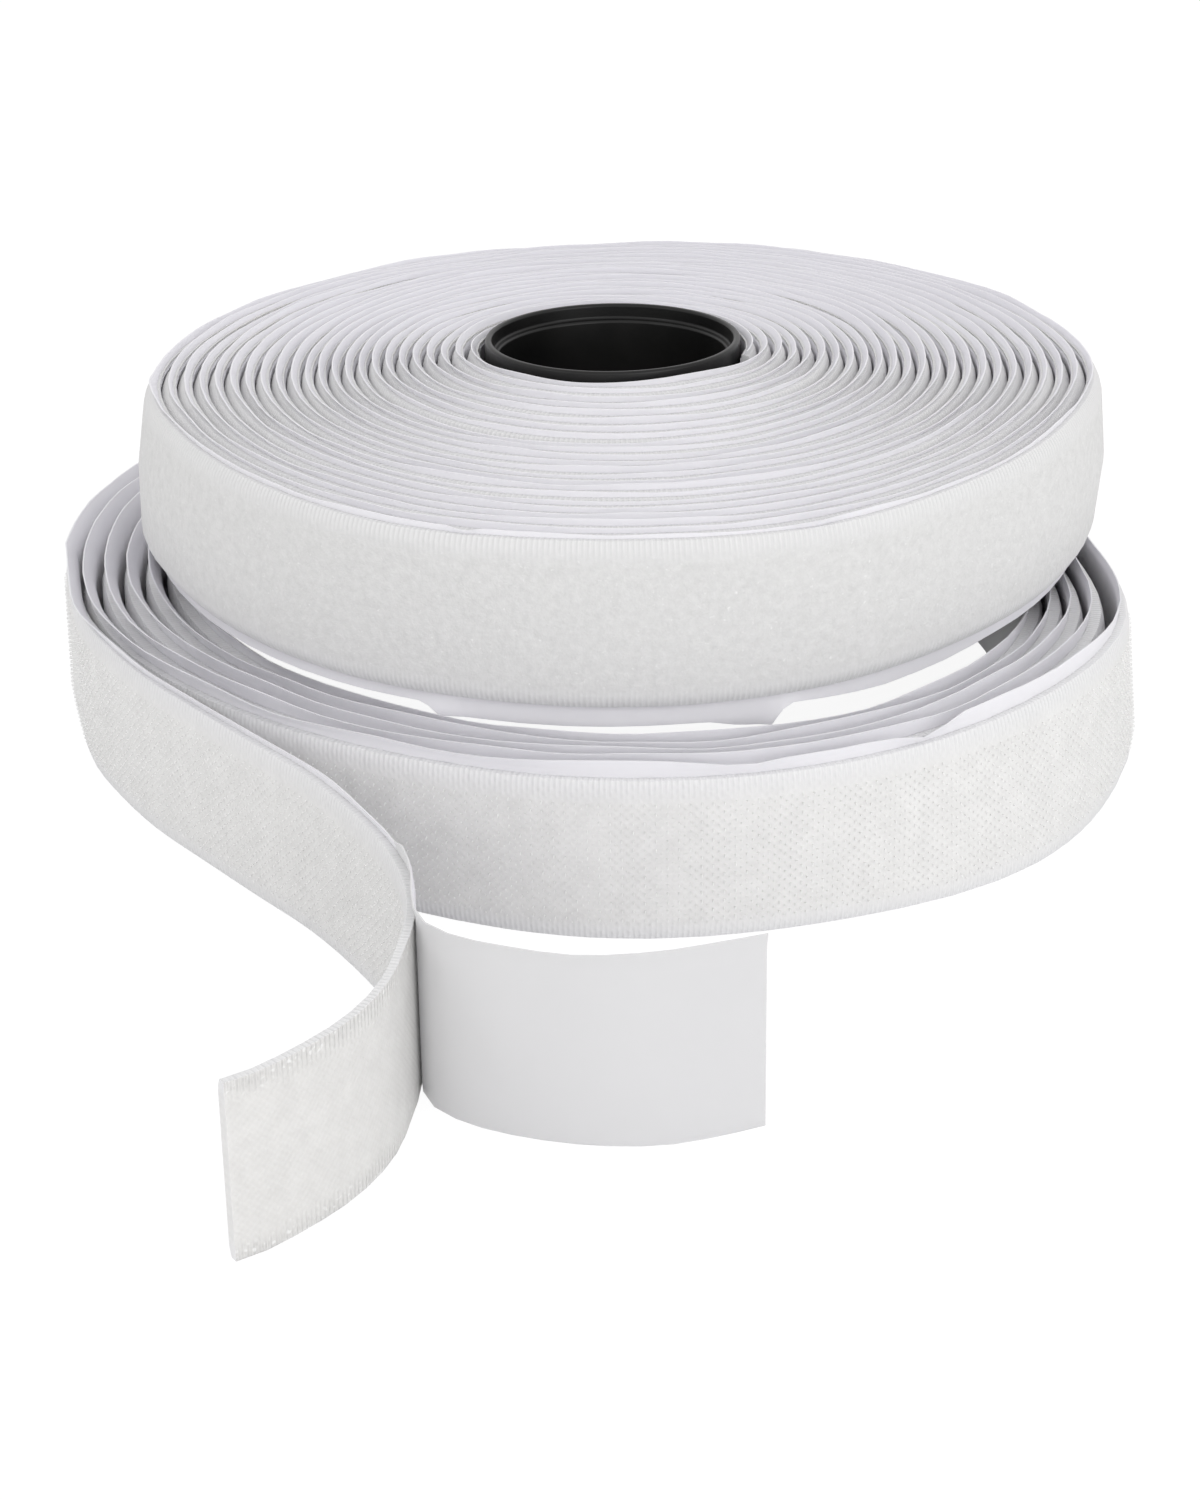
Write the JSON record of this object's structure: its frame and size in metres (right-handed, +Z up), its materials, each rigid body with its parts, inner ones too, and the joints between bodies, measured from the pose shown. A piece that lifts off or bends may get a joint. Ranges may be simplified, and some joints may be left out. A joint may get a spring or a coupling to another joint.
{
  "type": "hook and loop tape roll pair",
  "caption": "Matching hook and loop tape rolls: a tight loop roll on a black core lying on a loosely coiled hook roll, whose free end stands in front with its liner peeled back.",
  "frame": {"origin": "middle of the whole set in plan, on the surface that it stands on", "axes": "+Z up along both rolls' axes, -Y towards the free end in front, +X to the right as the free end is faced"},
  "size_m": [0.17, 0.248, 0.06],
  "materials": {
    "core_plastic": "moulded black, satin gloss",
    "loop_pile": "white woven tape with a soft napped loop face",
    "hook_weave": "white woven tape with a stiff grid of hooks and an adhesive back",
    "release_film": "smooth white release liner, faintly lavender at its edges"
  },
  "bodies": {
    "hook_roll": {"hook_tape": "hook_weave", "hook_liner": "release_film"},
    "hook_core": {"hook_core": "core_plastic"},
    "tape_end": {"hook_tape_end": "hook_weave"},
    "liner_end": {"hook_liner_end": "release_film"},
    "loop_roll": {"loop_tape": "loop_pile", "loop_liner": "release_film"},
    "loop_core": {"loop_core": "core_plastic"}
  },
  "joints": [
    {"name": "hook_core_slide", "type": "slide", "parent": "hook_roll", "child": "hook_core", "axis": [-0.8776, -0.4794, 0], "range_m": [-0.007, 0.078]},
    {"name": "tape_end_bend", "type": "hinge", "parent": "hook_roll", "child": "tape_end", "pos_m": [-0.02298, -0.08408, 0.0125], "axis": [0, 0, 1], "range_deg": [-60, 5]},
    {"name": "liner_end_bend", "type": "hinge", "parent": "hook_roll", "child": "liner_end", "pos_m": [-0.02139, -0.08398, 0.014], "axis": [0, 0, 1], "range_deg": [-15, 55]},
    {"name": "loop_roll_lift", "type": "slide", "parent": "hook_roll", "child": "loop_roll", "axis": [0, 0, 1], "range_m": [0, 0.04]},
    {"name": "loop_core_turn", "type": "hinge", "parent": "loop_roll", "child": "loop_core", "pos_m": [0.00436, 0.04053, 0.047], "axis": [0, 0, 1], "continuous": true}
  ]
}
